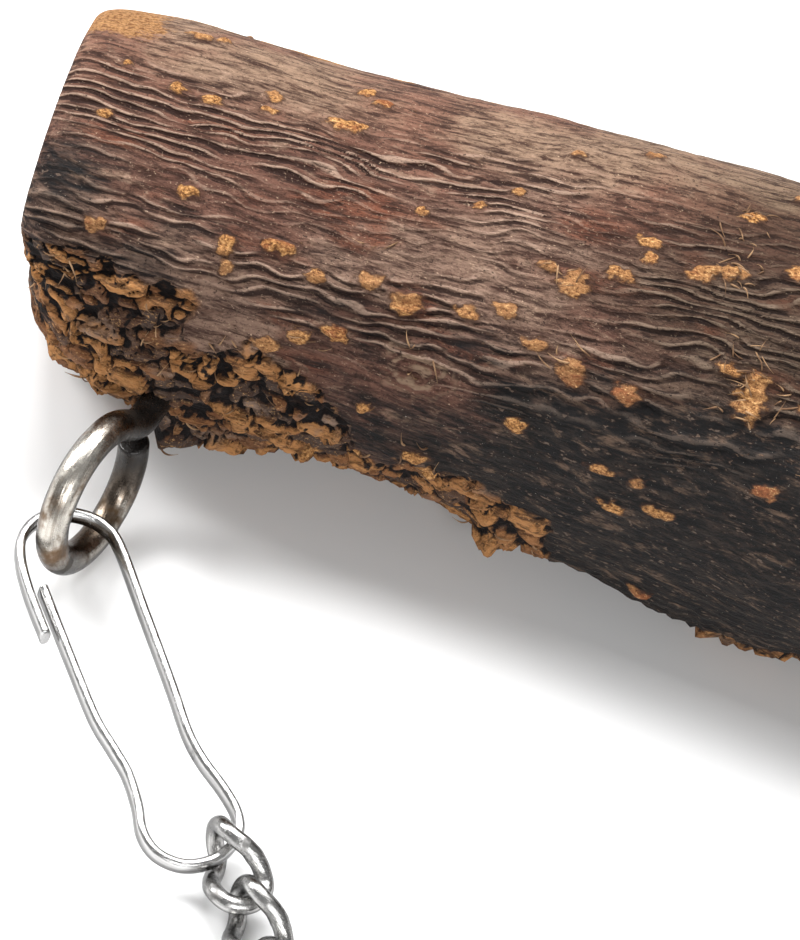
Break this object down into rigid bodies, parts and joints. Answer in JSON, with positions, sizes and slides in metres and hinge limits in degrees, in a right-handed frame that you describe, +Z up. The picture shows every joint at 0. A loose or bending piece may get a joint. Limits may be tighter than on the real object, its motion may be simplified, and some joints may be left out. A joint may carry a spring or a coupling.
{
  "type": "hanging branch perch",
  "caption": "Natural branch perch with a screw eye near each end, each carrying a wire snap clip, a twisted-link chain and a second clip to hang it by.",
  "frame": {"origin": "centre of the whole object's box, on the surface it lies on", "axes": "+X along the branch from its decayed end to its thick end, +Z up, -Y towards the chains' free ends"},
  "size_m": [0.25, 0.2712, 0.0691],
  "materials": {
    "bark": "rough natural bark",
    "eye_steel": "worn and stained steel",
    "clip_steel": "polished wire",
    "link_steel": "tumbled wire"
  },
  "bodies": {
    "perch": {"branch": "bark", "left_screw_eye": "eye_steel", "right_screw_eye": "eye_steel"},
    "left_eye_clip": {"left_eye_clip": "clip_steel"},
    "left_link_01": {"left_link_01": "link_steel"},
    "left_link_02": {"left_link_02": "link_steel"},
    "left_link_03": {"left_link_03": "link_steel"},
    "left_link_04": {"left_link_04": "link_steel"},
    "left_link_05": {"left_link_05": "link_steel"},
    "left_link_06": {"left_link_06": "link_steel"},
    "left_link_07": {"left_link_07": "link_steel"},
    "left_link_08": {"left_link_08": "link_steel"},
    "left_link_09": {"left_link_09": "link_steel"},
    "left_link_10": {"left_link_10": "link_steel"},
    "left_cage_clip": {"left_cage_clip": "clip_steel"},
    "right_eye_clip": {"right_eye_clip": "clip_steel"},
    "right_link_01": {"right_link_01": "link_steel"},
    "right_link_02": {"right_link_02": "link_steel"},
    "right_link_03": {"right_link_03": "link_steel"},
    "right_link_04": {"right_link_04": "link_steel"},
    "right_link_05": {"right_link_05": "link_steel"},
    "right_link_06": {"right_link_06": "link_steel"},
    "right_link_07": {"right_link_07": "link_steel"},
    "right_link_08": {"right_link_08": "link_steel"},
    "right_link_09": {"right_link_09": "link_steel"},
    "right_link_10": {"right_link_10": "link_steel"},
    "right_cage_clip": {"right_cage_clip": "clip_steel"}
  },
  "joints": [
    {"name": "left_eye_clip_turn", "type": "hinge", "parent": "perch", "child": "left_eye_clip", "pos_m": [-0.1086, 0.05452, 0.01115], "axis": [-0.8007, -0.599, 0], "range_deg": [-30, 60]},
    {"name": "left_link_01_turn", "type": "hinge", "parent": "left_eye_clip", "child": "left_link_01", "pos_m": [-0.07282, 0.01321, 0.0048], "axis": [0, 0, 1], "range_deg": [-4, 40]},
    {"name": "left_link_02_turn", "type": "hinge", "parent": "left_link_01", "child": "left_link_02", "pos_m": [-0.06855, 0.00711, 0.0048], "axis": [0.866, 0.5, 0], "range_deg": [-14, 14]},
    {"name": "left_link_03_turn", "type": "hinge", "parent": "left_link_02", "child": "left_link_03", "pos_m": [-0.0637, -0.00129, 0.0048], "axis": [0, 0, -1], "range_deg": [-9, 9]},
    {"name": "left_link_04_turn", "type": "hinge", "parent": "left_link_03", "child": "left_link_04", "pos_m": [-0.0596, -0.01008, 0.0048], "axis": [-0.9397, -0.342, 0], "range_deg": [-14, 14]},
    {"name": "left_link_05_turn", "type": "hinge", "parent": "left_link_04", "child": "left_link_05", "pos_m": [-0.05628, -0.0192, 0.0048], "axis": [0, 0, 1], "range_deg": [-9, 9]},
    {"name": "left_link_06_turn", "type": "hinge", "parent": "left_link_05", "child": "left_link_06", "pos_m": [-0.05377, -0.02857, 0.0048], "axis": [0.9848, 0.1736, 0], "range_deg": [-14, 14]},
    {"name": "left_link_07_turn", "type": "hinge", "parent": "left_link_06", "child": "left_link_07", "pos_m": [-0.05209, -0.03812, 0.0048], "axis": [0, 0, -1], "range_deg": [-9, 9]},
    {"name": "left_link_08_turn", "type": "hinge", "parent": "left_link_07", "child": "left_link_08", "pos_m": [-0.05124, -0.04778, 0.0048], "axis": [-1, 0, 0], "range_deg": [-14, 14]},
    {"name": "left_link_09_turn", "type": "hinge", "parent": "left_link_08", "child": "left_link_09", "pos_m": [-0.05124, -0.05748, 0.0048], "axis": [0, 0, 1], "range_deg": [-9, 9]},
    {"name": "left_link_10_turn", "type": "hinge", "parent": "left_link_09", "child": "left_link_10", "pos_m": [-0.05209, -0.06714, 0.0048], "axis": [0.9848, -0.1736, 0], "range_deg": [-14, 14]},
    {"name": "left_cage_clip_turn", "type": "hinge", "parent": "left_link_10", "child": "left_cage_clip", "pos_m": [-0.05345, -0.07487, 0.0048], "axis": [0, 0, -1], "range_deg": [-30, 38]},
    {"name": "right_eye_clip_turn", "type": "hinge", "parent": "perch", "child": "right_eye_clip", "pos_m": [0.1086, 0.0496, 0.01115], "axis": [-0.8007, 0.599, 0], "range_deg": [-30, 60]},
    {"name": "right_link_01_turn", "type": "hinge", "parent": "right_eye_clip", "child": "right_link_01", "pos_m": [0.07282, 0.00829, 0.0048], "axis": [0, 0, -1], "range_deg": [-4, 40]},
    {"name": "right_link_02_turn", "type": "hinge", "parent": "right_link_01", "child": "right_link_02", "pos_m": [0.06855, 0.00218, 0.0048], "axis": [0.866, -0.5, 0], "range_deg": [-14, 14]},
    {"name": "right_link_03_turn", "type": "hinge", "parent": "right_link_02", "child": "right_link_03", "pos_m": [0.0637, -0.00622, 0.0048], "axis": [0, 0, 1], "range_deg": [-9, 9]},
    {"name": "right_link_04_turn", "type": "hinge", "parent": "right_link_03", "child": "right_link_04", "pos_m": [0.0596, -0.01501, 0.0048], "axis": [-0.9397, 0.342, 0], "range_deg": [-14, 14]},
    {"name": "right_link_05_turn", "type": "hinge", "parent": "right_link_04", "child": "right_link_05", "pos_m": [0.05628, -0.02412, 0.0048], "axis": [0, 0, -1], "range_deg": [-9, 9]},
    {"name": "right_link_06_turn", "type": "hinge", "parent": "right_link_05", "child": "right_link_06", "pos_m": [0.05377, -0.03349, 0.0048], "axis": [0.9848, -0.1736, 0], "range_deg": [-14, 14]},
    {"name": "right_link_07_turn", "type": "hinge", "parent": "right_link_06", "child": "right_link_07", "pos_m": [0.05209, -0.04304, 0.0048], "axis": [0, 0, 1], "range_deg": [-9, 9]},
    {"name": "right_link_08_turn", "type": "hinge", "parent": "right_link_07", "child": "right_link_08", "pos_m": [0.05124, -0.05271, 0.0048], "axis": [-1, 0, 0], "range_deg": [-14, 14]},
    {"name": "right_link_09_turn", "type": "hinge", "parent": "right_link_08", "child": "right_link_09", "pos_m": [0.05124, -0.06241, 0.0048], "axis": [0, 0, -1], "range_deg": [-9, 9]},
    {"name": "right_link_10_turn", "type": "hinge", "parent": "right_link_09", "child": "right_link_10", "pos_m": [0.05209, -0.07207, 0.0048], "axis": [0.9848, 0.1736, 0], "range_deg": [-14, 14]},
    {"name": "right_cage_clip_turn", "type": "hinge", "parent": "right_link_10", "child": "right_cage_clip", "pos_m": [0.05345, -0.0798, 0.0048], "axis": [0, 0, 1], "range_deg": [-30, 38]}
  ]
}
